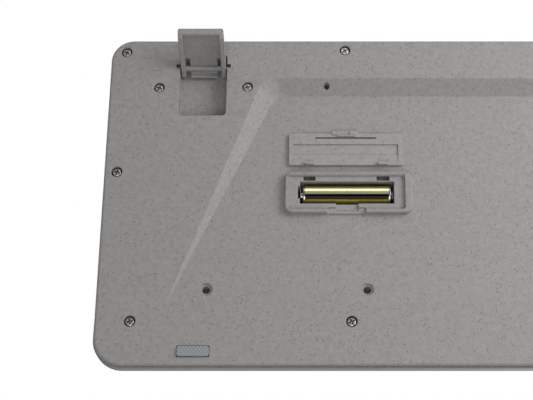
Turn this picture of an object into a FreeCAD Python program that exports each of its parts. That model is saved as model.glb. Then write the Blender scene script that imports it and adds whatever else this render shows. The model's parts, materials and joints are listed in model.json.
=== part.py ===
"""Full-size wireless keyboard: two-part moulded case, flip-out feet, AAA battery bay and membrane keys.

Everything is laid out in the deck frame, in millimetres: X to the right, Y to the rear, Z up, with
the key deck level, the front edge of the case at Y = 0 and the recessed floor of the underside at
Z = 0. At the end every sub-part gets the same placement, which tips the case onto its front pads
and unfolded feet and puts the origin on the desk under the middle of the keyboard.
"""
import FreeCAD, Part
import math
import os
import re

import Sketcher
from FreeCAD import Placement, Rotation, Vector

DOC = FreeCAD.newDocument("wireless_keyboard")
SHEET = DOC.addObject("Spreadsheet::Sheet", "dimensions")

DIMENSIONS = {
    # case
    "case_width": 450,
    "case_depth": 170,
    "deck_top": 11.5,
    "deck_under": 9.9,
    "seam_height": 4.0,
    "seam_gap": 0.7,
    "lip_gap": 0.35,
    "lip_height": 1.5,
    "lip_wall": 1.3,
    "case_wall": 2.0,
    "front_radius": 14,
    "rear_radius": 12,
    "cover_inset": 0.6,
    "inner_floor": 1.8,
    "front_floor": 3.2,
    # wedge underside and its recess
    "wedge_angle": 3.5,
    "wedge_start": 29.4,
    "recess_half_front": 191.1,
    "recess_side_slope": 0.45,
    "rim_side_slope": 0.375,
    "recess_rear": 141.3,
    "recess_rear_outer": 148,
    "recess_corner": 12,
    # tilt feet
    "foot_centre": 177.2,
    "foot_width": 22.6,
    "foot_tip_width": 21.9,
    "foot_length": 24.8,
    "foot_plate": 1.8,
    "foot_flange": 2.2,
    "foot_heel": 4.4,
    "foot_lean": 19.5,
    "foot_slot": 2.1,
    "foot_slot_length": 10.4,
    "foot_reach": 3.0,
    "tongue_level": 3.2,
    "pivot_along": 154.9,
    "pivot_depth": 2.7,
    "pin_radius": 1.3,
    "pin_clearance": 0.08,
    "pin_reach": 1.7,
    "foot_pocket_width": 23.8,
    "foot_pocket_front": 127.4,
    "foot_pocket_rear": 160.4,
    "foot_pocket_roof": 0.5,
    # front pads
    "pad_length": 15.1,
    "pad_depth": 4.9,
    "pad_front": 4.7,
    "pad_proud": 1.0,
    "pad_sunk": 0.6,
    # battery bay
    "bay_centre": 104.6,
    "bay_row": 87.0,
    "rim_left": 72.4,
    "rim_right": 135.2,
    "rim_front": 75.9,
    "rim_rear": 97.9,
    "rim_height": 3.4,
    "rim_round": 0.9,
    "ledge_left": 76.1,
    "ledge_right": 133.6,
    "ledge_front": 77.7,
    "ledge_rear": 95.7,
    "door_thickness": 1.6,
    "door_gap": 0.25,
    "door_play": 0.05,
    "lead_in": 0.8,
    "well_length": 46.2,
    "well_width": 11.8,
    "well_roof": 8.3,
    "well_wall": 1.0,
    "cell_radius": 5.2,
    "cell_sleeve": 43.4,
    "cell_nub_radius": 1.9,
    "cell_nub_height": 1.0,
    "cell_proud": 0.6,
    "hinge_line": 98.7,
    # keys
    "key_pitch": 19.05,
    "key_gap": 1.0,
    "cluster_gap": 4.8,
    "home_row": 87.2,
    "function_row": 151.5,
    "function_depth": 16,
    "cap_top": 17.0,
    "cap_skirt": 11.0,
    "cap_taper": 1.2,
    "cap_corner": 2.0,
    "cap_edge": 0.6,
    "cap_wall": 1.6,
    "cap_roof": 1.4,
    "dish_depth": 0.35,
    "stem_side": 5.0,
    "stem_bottom": 6.0,
    "stem_clearance": 0.1,
    "chimney_wall": 1.4,
    "chimney_top": 10.6,
    "bed_top": 8.0,
    "bed_under": 6.6,
    "bed_wall": 1.0,
    "bed_margin": 0.2,
    # membrane stack
    "sheet_thickness": 0.2,
    "mat_thickness": 0.3,
    "dome_radius": 4.0,
    "dome_crown": 2.6,
    "dome_wall": 0.5,
    "stack_half_width": 213,
    "stack_front": 41.4,
    "stack_rear": 158.8,
    # screws
    "screw_head_radius": 2.35,
    "screw_head_height": 1.4,
    "screw_shank_radius": 1.1,
    "screw_seat_depth": 2.2,
    "screw_bore_radius": 2.75,
    "boss_radius": 3.0,
    "boss_step": 0.4,
    # controller
    "board_left": 146,
    "board_right": 210,
    "board_front": 146.8,
    "board_rear": 158.4,
    "board_thickness": 1.2,
    "led_row": 154.4,
}

for line, (word, number) in enumerate(DIMENSIONS.items(), start=1):
    SHEET.set(f"A{line}", word)
    SHEET.set(f"B{line}", str(number))
    SHEET.setAlias(f"B{line}", word)
DOC.recompute()


# ---------------------------------------------------------------- helpers

def size(expression):
    """The number that an expression on the sheet's words gives."""
    return float(SHEET.evalExpression(expression))


def linked(expression):
    """The same expression, written so that another object can be bound to it."""
    def link(match):
        word = match.group()
        return f"<<dimensions>>.{word}" if word in DIMENSIONS else word
    return re.sub(r"[a-z_]+", link, expression)


def bind(item, path, expression):
    item.setExpression(path, linked(expression))


def new_body(name):
    return DOC.addObject("PartDesign::Body", name)


def new_sketch(body, name, role="XY_Plane", offset="0"):
    """A sketch on one of the body's origin planes, moved along that plane's normal."""
    sketch = body.newObject("Sketcher::SketchObject", name)
    plane = next(f for f in body.Origin.OriginFeatures if f.Role == role)
    sketch.AttachmentSupport = [(plane, "")]
    sketch.MapMode = "FlatFace"
    bind(sketch, "AttachmentOffset.Base.z", offset)
    return sketch


def fix_point(sketch, geometry, end, across, along):
    """Holds one point of a sketch at a pair of expressions."""
    for kind, expression in (("DistanceX", across), ("DistanceY", along)):
        index = sketch.addConstraint(Sketcher.Constraint(kind, geometry, end, size(expression)))
        bind(sketch, f"Constraints[{index}]", expression)


def outline(sketch, points):
    """A closed polygon through the given pairs of expressions."""
    corners = [Vector(size(across), size(along), 0) for across, along in points]
    first = sketch.GeometryCount
    count = len(corners)
    for i in range(count):
        sketch.addGeometry(Part.LineSegment(corners[i], corners[(i + 1) % count]))
    for i in range(count):
        sketch.addConstraint(
            Sketcher.Constraint("Coincident", first + i, 2, first + (i + 1) % count, 1))
    for i, (across, along) in enumerate(points):
        fix_point(sketch, first + i, 1, across, along)


def rectangle(sketch, left, front, right, rear):
    outline(sketch, [(left, front), (right, front), (right, rear), (left, rear)])


def circle(sketch, across, along, radius):
    centre = Vector(size(across), size(along), 0)
    index = sketch.addGeometry(Part.Circle(centre, Vector(0, 0, 1), size(radius)))
    held = sketch.addConstraint(Sketcher.Constraint("Radius", index, size(radius)))
    bind(sketch, f"Constraints[{held}]", radius)
    fix_point(sketch, index, 3, across, along)


def rounded_outline(sketch, left, front, right, rear, front_radius, rear_radius):
    """A rectangle with one radius on its two front corners and another on its two rear ones."""
    x0, y0, x1, y1 = (size(e) for e in (left, front, right, rear))
    rf, rr = size(front_radius), size(rear_radius)
    up = Vector(0, 0, 1)
    quarter = math.pi / 2

    def corner(x, y, radius, turn):
        whole = Part.Circle(Vector(x, y, 0), up, radius)
        return Part.ArcOfCircle(whole, turn * quarter, (turn + 1) * quarter)

    sketch.addGeometry([
        Part.LineSegment(Vector(x0 + rf, y0, 0), Vector(x1 - rf, y0, 0)),
        corner(x1 - rf, y0 + rf, rf, 3),
        Part.LineSegment(Vector(x1, y0 + rf, 0), Vector(x1, y1 - rr, 0)),
        corner(x1 - rr, y1 - rr, rr, 0),
        Part.LineSegment(Vector(x1 - rr, y1, 0), Vector(x0 + rr, y1, 0)),
        corner(x0 + rr, y1 - rr, rr, 1),
        Part.LineSegment(Vector(x0, y1 - rr, 0), Vector(x0, y0 + rf, 0)),
        corner(x0 + rf, y0 + rf, rf, 2),
    ])
    for i in range(8):
        sketch.addConstraint(Sketcher.Constraint("Tangent", i, 2, (i + 1) % 8, 1))
    for i, kind in enumerate(("Horizontal", "Vertical", "Horizontal", "Vertical")):
        sketch.addConstraint(Sketcher.Constraint(kind, 2 * i))
    held = [("Radius", 1, front_radius), ("Radius", 7, front_radius),
            ("Radius", 3, rear_radius), ("Radius", 5, rear_radius)]
    for kind, geometry, expression in held:
        index = sketch.addConstraint(Sketcher.Constraint(kind, geometry, size(expression)))
        bind(sketch, f"Constraints[{index}]", expression)
    sides = [("DistanceY", 0, front), ("DistanceX", 2, right), ("DistanceY", 4, rear), ("DistanceX", 6, left)]
    for kind, geometry, expression in sides:
        index = sketch.addConstraint(Sketcher.Constraint(kind, geometry, 1, size(expression)))
        bind(sketch, f"Constraints[{index}]", expression)


def extrude(body, kind, sketch, length, reverse, middle):
    feature = body.newObject(f"PartDesign::{kind}", f"{sketch.Name}_{kind.lower()}")
    feature.Profile = sketch
    bind(feature, "Length", length)
    feature.Reversed = reverse
    feature.SideType = "Symmetric" if middle else "One side"
    return feature


def pad(body, sketch, length, reverse=False, middle=False):
    """Adds the sketch's area along its normal; the volume has to grow."""
    before = body.Shape.Volume if body.Tip else 0
    feature = extrude(body, "Pad", sketch, length, reverse, middle)
    DOC.recompute()
    if body.Shape.Volume <= before:
        raise ValueError(f"{feature.Name} adds nothing")
    return feature


def pocket(body, sketch, length, reverse=False, middle=False):
    """Cuts the sketch's area against its normal, or along it when reversed; the volume has to drop."""
    before = body.Shape.Volume
    feature = extrude(body, "Pocket", sketch, length, reverse, middle)
    DOC.recompute()
    if not body.Shape.Volume < before - 1e-6:
        raise ValueError(f"{feature.Name} cuts nothing")
    return feature


def loft(body, kind, first, *others):
    feature = body.newObject(f"PartDesign::{kind}", f"{first.Name}_loft")
    feature.Profile = first
    feature.Sections = list(others)
    feature.Ruled = True
    DOC.recompute()
    return feature


def round_edges(body, name, radius, chosen):
    """Fillets the edges of the body that a test picks."""
    base = body.Tip
    names = [f"Edge{i}" for i, edge in enumerate(base.Shape.Edges, start=1) if chosen(edge)]
    if not names:
        raise ValueError(f"{name} found no edges")
    feature = body.newObject("PartDesign::Fillet", name)
    feature.Base = (base, names)
    bind(feature, "Radius", radius)
    DOC.recompute()
    return feature


def box_shape(left, front, low, right, rear, high):
    return Part.makeBox(right - left, rear - front, high - low, Vector(left, front, low))


def post_shape(x, y, low, high, radius):
    return Part.makeCylinder(radius, high - low, Vector(x, y, low))


def merged(shapes):
    """One shape from solids that may overlap."""
    return shapes[0].multiFuse(shapes[1:]).removeSplitter()


def solid_feature(name, shape):
    feature = DOC.addObject("Part::Feature", name)
    feature.Shape = shape
    return feature


def combine(name, kind, base, tools):
    """base with every tool fused to it or cut from it, as a document boolean."""
    feature = DOC.addObject(f"Part::{kind}", name)
    feature.Base = base
    feature.Tool = tools
    return feature


def mirrored(points):
    """The points and their images on the other side of the keyboard's middle plane."""
    return [(side * x, y) for side in (1, -1) for x, y in points]


# ---------------------------------------------------------------- shared places

def wedge_height(y):
    """Height of the wedge underside at a distance from the front edge."""
    return -(y - size("wedge_start")) * math.tan(math.radians(size("wedge_angle")))


WEDGE = "-({} - wedge_start) * tan(wedge_angle)"
LEDGE = "(-rim_height + door_thickness + door_play)"

EDGE_SCREWS = mirrored([(216.7, 162.6), (105.3, 163.7), (218.1, 97.2), (207.6, 21.7), (102.7, 21.6)])
MIDDLE_SCREWS = [(0, 163.7), (0, 21.6)]
FOOT_SCREWS = mirrored([(199.3, 142.8), (154.7, 143.2)])
SCREWS = EDGE_SCREWS + MIDDLE_SCREWS + FOOT_SCREWS
BLIND_HOLES = mirrored([(172.1, 37.3), (95.2, 37.3)])


def key_rows():
    """Centre lines of the six rows of keys, from the space bar's row to the function row."""
    pitch = size("key_pitch")
    home = size("home_row")
    return {
        "bottom": home - 2 * pitch,
        "lower": home - pitch,
        "home": home,
        "upper": home + pitch,
        "number": home + 2 * pitch,
        "function": size("function_row"),
    }


ROWS = key_rows()
HALF_FIELD = 11 * size("key_pitch") + size("cluster_gap")
MAIN_LEFT = -HALF_FIELD
MAIN_RIGHT = MAIN_LEFT + 15 * size("key_pitch")
NAV_LEFT = MAIN_RIGHT + size("cluster_gap")
NAV_RIGHT = NAV_LEFT + 3 * size("key_pitch")
PAD_LEFT = NAV_RIGHT + size("cluster_gap")
PAD_RIGHT = HALF_FIELD


def run_of_keys(left, row, widths):
    """Keys side by side from a left edge: (x, y, width in units); a negative width is a gap."""
    keys = []
    for width in widths:
        span = abs(width) * size("key_pitch")
        if width > 0:
            keys.append((left + span / 2, ROWS[row], width))
        left += span
    return keys


MAIN_NUMBER = run_of_keys(MAIN_LEFT, "number", [1] * 13 + [2])
MAIN_UPPER = run_of_keys(MAIN_LEFT, "upper", [1.5] + [1] * 12 + [1.5])
MAIN_HOME = run_of_keys(MAIN_LEFT, "home", [1.75] + [1] * 11 + [2.25])
MAIN_LOWER = run_of_keys(MAIN_LEFT, "lower", [2.25] + [1] * 10 + [2.75])
MAIN_BOTTOM = run_of_keys(MAIN_LEFT, "bottom", [1.25] * 3 + [6.25] + [1.25] * 4)
FUNCTION = run_of_keys(MAIN_LEFT, "function", [1, -1] + [1] * 4 + [-0.5] + [1] * 4 + [-0.5] + [1] * 4)
NAV_FUNCTION = run_of_keys(NAV_LEFT, "function", [1] * 3)
NAV_NUMBER = run_of_keys(NAV_LEFT, "number", [1] * 3)
NAV_UPPER = run_of_keys(NAV_LEFT, "upper", [1] * 3)
NAV_LOWER = run_of_keys(NAV_LEFT, "lower", [-1, 1])
NAV_BOTTOM = run_of_keys(NAV_LEFT, "bottom", [1] * 3)
PAD_TOP = run_of_keys(PAD_LEFT, "number", [1] * 4)
PAD_UPPER = run_of_keys(PAD_LEFT, "upper", [1] * 3)
PAD_HOME = run_of_keys(PAD_LEFT, "home", [1] * 3)
PAD_LOWER = run_of_keys(PAD_LEFT, "lower", [1] * 3)
PAD_BOTTOM = run_of_keys(PAD_LEFT, "bottom", [2, 1])
TALL_X = PAD_RIGHT - size("key_pitch") / 2
PAD_PLUS = [(TALL_X, (ROWS["upper"] + ROWS["home"]) / 2, "tall")]
PAD_ENTER = [(TALL_X, (ROWS["lower"] + ROWS["bottom"]) / 2, "tall")]

KEY_NODES = {
    "key_escape": FUNCTION[:1],
    "key_backspace": MAIN_NUMBER[-1:],
    "key_tab": MAIN_UPPER[:1],
    "key_caps_lock": MAIN_HOME[:1],
    "key_enter": MAIN_HOME[-1:],
    "key_shift_left": MAIN_LOWER[:1],
    "key_shift_right": MAIN_LOWER[-1:],
    "key_space": MAIN_BOTTOM[3:4],
    "key_arrow_up": NAV_LOWER,
    "key_arrow_left": NAV_BOTTOM[:1],
    "key_arrow_down": NAV_BOTTOM[1:2],
    "key_arrow_right": NAV_BOTTOM[2:],
    "key_pad_zero": PAD_BOTTOM[:1],
    "key_pad_point": PAD_BOTTOM[1:],
    "key_pad_plus": PAD_PLUS,
    "key_pad_enter": PAD_ENTER,
    "keys_function_1_to_4": FUNCTION[1:5],
    "keys_function_5_to_8": FUNCTION[5:9],
    "keys_function_9_to_12": FUNCTION[9:],
    "keys_print_group": NAV_FUNCTION,
    "keys_number_row": MAIN_NUMBER[:-1],
    "keys_upper_letters": MAIN_UPPER[1:],
    "keys_home_letters": MAIN_HOME[1:-1],
    "keys_lower_letters": MAIN_LOWER[1:-1],
    "keys_bottom_left": MAIN_BOTTOM[:3],
    "keys_bottom_right": MAIN_BOTTOM[4:],
    "keys_insert_group": NAV_NUMBER,
    "keys_delete_group": NAV_UPPER,
    "keys_pad_top": PAD_TOP,
    "keys_pad_789": PAD_UPPER,
    "keys_pad_456": PAD_HOME,
    "keys_pad_123": PAD_LOWER,
}
ALL_KEYS = [key for keys in KEY_NODES.values() for key in keys]

FIELDS = [
    (MAIN_LEFT, "bottom", MAIN_RIGHT, "number"),
    (MAIN_LEFT, "function", MAIN_RIGHT, "function"),
    (NAV_LEFT, "function", NAV_RIGHT, "function"),
    (NAV_LEFT, "upper", NAV_RIGHT, "number"),
    (NAV_LEFT, "bottom", NAV_RIGHT, "bottom"),
    (NAV_LEFT + size("key_pitch"), "lower", NAV_RIGHT - size("key_pitch"), "lower"),
    (PAD_LEFT, "bottom", PAD_RIGHT, "number"),
]


def field_shapes(extra, low, high):
    """The sunken key fields as boxes, grown sideways by a margin."""
    shapes = []
    for left, front_row, right, rear_row in FIELDS:
        reach = size("function_depth" if front_row == "function" else "key_pitch") / 2
        front = ROWS[front_row] - reach - extra
        rear = ROWS[rear_row] + reach + extra
        shapes.append(box_shape(left - extra, front, low, right + extra, rear, high))
    return shapes


# ---------------------------------------------------------------- bottom cover

def case_sketch(body, name, offset, inset):
    sketch = new_sketch(body, name, "XY_Plane", offset)
    half = f"case_width / 2 - {inset}"
    rounded_outline(sketch, f"-({half})", inset, half, f"case_depth - {inset}",
                    f"front_radius - {inset}", f"rear_radius - {inset}")
    return sketch


def recess_sketch(body, name, level):
    """The recess outline at a height: its slanted walls lean outwards as they go down."""
    # the side wall holds the floor's edge and the rim's edge; the rear wall has one slope
    drop = "(recess_side_slope - rim_side_slope) / tan(wedge_angle)"
    spread = f"({drop}) * (-({level}))"
    lean = "(recess_rear_outer - recess_rear) / ((recess_rear_outer - wedge_start) * tan(wedge_angle))"
    rear = f"recess_rear + ({lean}) * (-({level}))"
    front = "wedge_start"
    near = f"recess_half_front + {spread}"
    far = f"recess_half_front - recess_side_slope * ({rear} - wedge_start) + {spread}"
    sketch = new_sketch(body, name, "XY_Plane", level)
    outline(sketch, [(f"-({near})", front), (near, front), (far, rear), (f"-({far})", rear)])
    return sketch


def bottom_cover():
    body = new_body("cover_moulding")
    pad(body, case_sketch(body, "cover_block", "-10", "cover_inset"), "10 + seam_height")
    under = new_sketch(body, "wedge_cut", "YZ_Plane")
    outline(under, [("-5", WEDGE.format("-5")), ("case_depth + 5", WEDGE.format("(case_depth + 5)")),
                    ("case_depth + 5", "-20"), ("-5", "-20")])
    pocket(body, under, "case_width + 10", middle=True)
    underside = math.tan(math.radians(size("wedge_angle")))

    def on_wedge(edge):
        return all(abs(v.Z + (v.Y - size("wedge_start")) * underside) < 1e-3 for v in edge.Vertexes)

    round_edges(body, "cover_edge_round", "1.5", on_wedge)
    pad(body, case_sketch(body, "cover_lip", "seam_height", "(case_wall + lip_gap)"), "lip_height")
    inside = case_sketch(body, "cover_inside", "seam_height + lip_height", "(case_wall + lip_gap + lip_wall)")
    pocket(body, inside, "seam_height + lip_height - front_floor")
    floor = new_sketch(body, "cover_floor", "XY_Plane", "front_floor")
    edge = "case_width / 2 - case_wall - 3.6"
    rounded_outline(floor, f"-({edge})", "wedge_start + 2", edge, "case_depth - 5.6", "2", "8")
    pocket(body, floor, "front_floor - inner_floor")

    loft(body, "SubtractiveLoft", recess_sketch(body, "recess_floor", "0"),
         recess_sketch(body, "recess_mouth", "-12"))

    def on_recess_corner(edge):
        ends = [v.Point for v in edge.Vertexes]
        rear = all(p.y > size("recess_rear") - 0.1 and abs(p.x) > 100 for p in ends)
        return rear and abs(ends[0].z - ends[-1].z) > 3 and max(p.z for p in ends) < 0.1

    round_edges(body, "recess_corner_round", "recess_corner", on_recess_corner)

    rim = new_sketch(body, "bay_rim", "XY_Plane", "-rim_height")
    rounded_outline(rim, "rim_left", "rim_front", "rim_right", "rim_rear", "4", "4")
    pad(body, rim, "rim_height + 0.4")

    def on_rim(edge):
        middle = edge.CenterOfMass
        return abs(middle.z + size("rim_height")) < 1e-3 and 70 < middle.x < 140 and 70 < middle.y < 100

    round_edges(body, "bay_rim_round", "rim_round", on_rim)
    ledge = new_sketch(body, "bay_ledge", "XY_Plane", LEDGE)
    rounded_outline(ledge, "ledge_left", "ledge_front", "ledge_right", "ledge_rear", "1.2", "1.2")
    pocket(body, ledge, "6")
    lead = new_sketch(body, "ledge_lead_in", "YZ_Plane", "(ledge_left + ledge_right) / 2")
    outline(lead, [("ledge_rear - 0.05", "-rim_height - 1"), ("ledge_rear + lead_in", "-rim_height - 1"),
                   ("ledge_rear + lead_in", "-rim_height"), ("ledge_rear - 0.05", "-rim_height + lead_in + 0.05")])
    pocket(body, lead, "ledge_right - ledge_left", middle=True)

    well = new_sketch(body, "bay_block", "XY_Plane", "0")
    rectangle(well, "bay_centre - well_length / 2 - well_wall", "bay_row - well_width / 2 - well_wall",
              "bay_centre + well_length / 2 + 2.3", "bay_row + well_width / 2 + well_wall")
    pad(body, well, "well_roof + 0.8")
    hollow = new_sketch(body, "bay_well", "XY_Plane", "well_roof")
    rectangle(hollow, "bay_centre - well_length / 2", "bay_row - well_width / 2",
              "bay_centre + well_length / 2", "bay_row + well_width / 2")
    pocket(body, hollow, "20")
    nub = new_sketch(body, "bay_nub_notch", "XY_Plane", "well_roof - 0.8")
    rectangle(nub, "bay_centre", "bay_row - 3.1", "bay_centre + well_length / 2 + 1", "bay_row + 3.1")
    pocket(body, nub, "20")

    for side, left, right in (("right", "120.2", "126"), ("left", "83.7", "89.9")):
        slot = new_sketch(body, f"hook_slot_{side}", "XY_Plane", "1.2")
        rectangle(slot, left, "93.4", right, "ledge_rear - 0.05")
        pocket(body, slot, "4")
        undercut = new_sketch(body, f"hook_undercut_{side}", "XY_Plane", "1.2")
        rectangle(undercut, left, "94", right, "ledge_rear + 0.6")
        pocket(body, undercut, "2.1")
    catch = new_sketch(body, "latch_notch", "XY_Plane", "-0.4")
    rectangle(catch, "99.1", "ledge_front - 0.2", "110", "bay_row - well_width / 2 + 0.1")
    pocket(body, catch, "4")
    scoop = new_sketch(body, "finger_scoop", "XY_Plane", f"{LEDGE} + 0.7")
    rounded_outline(scoop, "95.4", "rim_front - 3", "114.4", "ledge_front + 1.3", "1", "1")
    pocket(body, scoop, "6")

    for side in (1, -1):
        name = "right" if side > 0 else "left"
        left = f"{side} * foot_centre - foot_pocket_width / 2"
        right = f"{side} * foot_centre + foot_pocket_width / 2"
        bay = new_sketch(body, f"foot_pocket_{name}", "XY_Plane", "foot_pocket_roof")
        rounded_outline(bay, left, "foot_pocket_front", right, "foot_pocket_rear", "2", "1")
        pocket(body, bay, "20")
        seat = new_sketch(body, f"pad_seat_{name}", "YZ_Plane", f"{side} * foot_centre")
        sunk = "({} + pad_sunk + 0.02)"
        front, rear = "pad_front - 0.2", "(pad_front + pad_depth + 0.2)"
        outline(seat, [(front, sunk.format(WEDGE.format(f"({front})"))),
                       (rear, sunk.format(WEDGE.format(rear))), (rear, "-5"), (front, "-5")])
        pocket(body, seat, "pad_length + 0.3", middle=True)

    reset = new_sketch(body, "pair_hole", "XY_Plane", "-0.6")
    circle(reset, "114.6", "145.2", "1.4")
    pocket(body, reset, "12")
    core_out(body)
    return body


def core_out(body):
    """Pockets from the inside that keep the thick rear band and flanks at a moulding's wall."""
    bands = [("core_rear_middle", "-98", "98", "147.5", "159.5"),
             ("core_rear_right", "112", "148", "147.5", "159.5"),
             ("core_rear_left", "-148", "-112", "147.5", "159.5"),
             ("core_flank_right", "191.5", "212", "104", "136"),
             ("core_flank_left", "-212", "-191.5", "104", "136")]
    for name, left, right, front, rear in bands:
        sketch = new_sketch(body, name, "YZ_Plane", left)
        outline(sketch, [(front, "inner_floor + 0.1"), (front, WEDGE.format(front) + " + 2.4"),
                         (rear, WEDGE.format(rear) + " + 2.4"), (rear, "inner_floor + 0.1")])
        pocket(body, sketch, f"{right} - ({left})", reverse=True)


def pivot():
    """The foot's hinge line in the deck frame: (y, z)."""
    y = size("pivot_along")
    return y, wedge_height(y) + size("pivot_depth")


def cover_bosses():
    floor = size("inner_floor")
    top = size("seam_height")
    tubes = [post_shape(x, y, floor - 0.2, top, size("boss_radius")) for x, y in SCREWS]
    tubes += [post_shape(x, y, floor - 0.2, size("bed_under") - 0.3, 3.2) for x, y in BLIND_HOLES]
    return merged(tubes)


def cover_holes():
    """Screw counterbores, blind fixing holes and the sockets for the feet's pins."""
    cuts = []
    for x, y in SCREWS:
        seat = wedge_height(y) + size("screw_seat_depth")
        cuts.append(post_shape(x, y, seat - 12, seat, size("screw_bore_radius")))
        cuts.append(post_shape(x, y, seat - 1, 12, size("screw_shank_radius") + 0.15))
    for x, y in BLIND_HOLES:
        cuts.append(post_shape(x, y, -8, 0.9, 3.0))
        cuts.append(post_shape(x, y, 0, size("bed_under") - 1.1, 1.9))
    y, z = pivot()
    reach = size("foot_pocket_width") / 2 + size("pin_reach") + 0.1
    radius = size("pin_radius") + size("pin_clearance")
    mouth = radius - 0.35
    for side in (1, -1):
        centre = side * size("foot_centre")
        cuts.append(Part.makeCylinder(radius, 2 * reach, Vector(centre - reach, y, z), Vector(1, 0, 0)))
        cuts.append(box_shape(centre - reach, y - mouth, z - 8, centre + reach, y + mouth, z))
    return merged(cuts)


# ---------------------------------------------------------------- top case

def top_case():
    body = new_body("deck_moulding")
    base = "seam_height + seam_gap"
    pad(body, case_sketch(body, "deck_block", base, "0"), f"deck_top - ({base})")

    def on_top(edge):
        return all(abs(v.Z - size("deck_top")) < 1e-3 for v in edge.Vertexes)

    round_edges(body, "deck_edge_round", "2.2", on_top)
    pocket(body, case_sketch(body, "deck_inside", base, "case_wall"), f"deck_under - ({base})", reverse=True)
    return body


def key_bed():
    """Floors and walls of the sunken key fields, with a guide chimney for every stem."""
    margin = size("bed_margin")
    shapes = field_shapes(margin + size("bed_wall"), size("bed_under"), size("deck_under") + 0.2)
    return merged(shapes)


def chimneys():
    half = size("stem_side / 2 + stem_clearance + chimney_wall")
    low, high = size("bed_top") - 0.2, size("chimney_top")
    return Part.makeCompound([box_shape(x - half, y - half, low, x + half, y + half, high)
                              for x, y, _ in ALL_KEYS])


def key_openings():
    return merged(field_shapes(size("bed_margin"), size("bed_top"), 20))


def deck_bosses():
    low, high = size("seam_height") + 0.1, size("deck_under") + 0.2
    posts = []
    for x, y in SCREWS:
        # the left-hand foot screws end in a post under the function keys' bed
        under_bed = (x, y) in FOOT_SCREWS and x < 0
        top = size("bed_under") + 0.3 if under_bed else high
        posts.append(post_shape(x, y, low, top, size("boss_radius - boss_step")))
    return Part.makeCompound(posts)


def stem_holes():
    half = size("stem_side / 2 + stem_clearance")
    cuts = [box_shape(x - half, y - half, 0, x + half, y + half, 12) for x, y, _ in ALL_KEYS]
    cuts += [post_shape(x, y, 0, 6.4, size("screw_shank_radius") + 0.01) for x, y in SCREWS]
    cuts += [post_shape(x, size("led_row"), 5, 20, 1.6) for x in LED_COLUMNS]
    return Part.makeCompound(cuts)


LED_COLUMNS = (165, 177, 189)


# ---------------------------------------------------------------- feet, pads, screws

def tilt_foot(name):
    """One foot, unfolded, drawn about its own hinge: the plate runs along -Z, its outer face at +Y."""
    body = new_body(name)
    plate = new_sketch(body, f"{name}_plate", "XZ_Plane", "-pivot_depth")
    outline(plate, [("-foot_width / 2", "foot_heel"), ("-foot_tip_width / 2", "-foot_length"),
                    ("foot_tip_width / 2", "-foot_length"), ("foot_width / 2", "foot_heel")])
    pad(body, plate, "foot_plate")
    tongue = new_sketch(body, f"{name}_tongue", "YZ_Plane", "0")
    inner_face = "(pivot_depth - foot_plate)"
    outline(tongue, [(f"{inner_face} + 0.3", "tongue_level - 1.6"), (f"{inner_face} - 1.4", "tongue_level"),
                     ("-foot_reach", "tongue_level"), ("-foot_reach", "foot_heel - 0.5"),
                     ("0.5 - foot_reach", "foot_heel"), (f"{inner_face} + 0.3", "foot_heel")])
    pad(body, tongue, "foot_width - 2 * (foot_flange + foot_slot)", middle=True)
    for side in (1, -1):
        flange = new_sketch(body, f"{name}_flange_{'right' if side > 0 else 'left'}", "YZ_Plane",
                            f"{side} * (foot_width / 2 - foot_flange / 2)")
        outline(flange, [("pivot_depth - foot_plate / 2", "foot_heel"), ("0.8 - foot_reach", "foot_heel"),
                         ("-foot_reach", "foot_heel - 1"), ("-foot_reach", "-3.5"), ("-1.4", "-foot_length + 3"),
                         ("0.4", "-foot_length"), ("pivot_depth - foot_plate / 2", "-foot_length")])
        pad(body, flange, "foot_flange", middle=True)
        slot = new_sketch(body, f"{name}_slot_{'right' if side > 0 else 'left'}", "XZ_Plane", "0")
        inner = f"{side} * (foot_width / 2 - foot_flange - foot_slot)"
        outer = f"{side} * (foot_width / 2 - foot_flange)"
        rectangle(slot, inner, "foot_heel - foot_slot_length", outer, "foot_heel + 1")
        pocket(body, slot, "20", middle=True)
    edge = new_sketch(body, f"{name}_tip", "YZ_Plane", "0")
    outline(edge, [("-0.2", "-foot_length + 2.6"), ("-0.2", "-foot_length"),
                   ("pivot_depth - foot_plate / 2", "-foot_length"),
                   ("pivot_depth - foot_plate / 2", "-foot_length + 2.6")])
    pad(body, edge, "foot_tip_width - 0.6", middle=True)
    pin = new_sketch(body, f"{name}_pin", "YZ_Plane", "0")
    circle(pin, "0", "0", "pin_radius")
    pad(body, pin, "foot_pocket_width + 2 * pin_reach", middle=True)
    return body


def foot_placement(side):
    y, z = pivot()
    turn = Rotation(Vector(1, 0, 0), size("foot_lean - wedge_angle"))
    return Placement(Vector(side * size("foot_centre"), y, z), turn)


def foot_tip():
    """Where the middle of the foot's tip lies when it is unfolded: (y, z) in the deck frame."""
    tip = foot_placement(1).multVec(Vector(0, size("pivot_depth - foot_plate / 2"), -size("foot_length")))
    return tip.y, tip.z


def rubber_pad(name, side):
    """A front pad: a soft bar with a crowned sole, let into its seat."""
    body = new_body(name)
    bar = new_sketch(body, f"{name}_bar", "XY_Plane", "-pad_sunk")
    rounded_outline(bar, "-pad_length / 2", "0", "pad_length / 2", "pad_depth", "1.2", "1.2")
    pad(body, bar, "pad_sunk + pad_proud")

    def on_sole(edge):
        return all(abs(v.Z - size("pad_proud")) < 1e-3 for v in edge.Vertexes)

    round_edges(body, f"{name}_round", "0.4", on_sole)
    flip = Rotation(Vector(1, 0, 0), 180 - size("wedge_angle"))
    rear = size("pad_front + pad_depth")
    place = Placement(Vector(side * size("foot_centre"), rear, wedge_height(rear)), flip)
    return body, place


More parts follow.
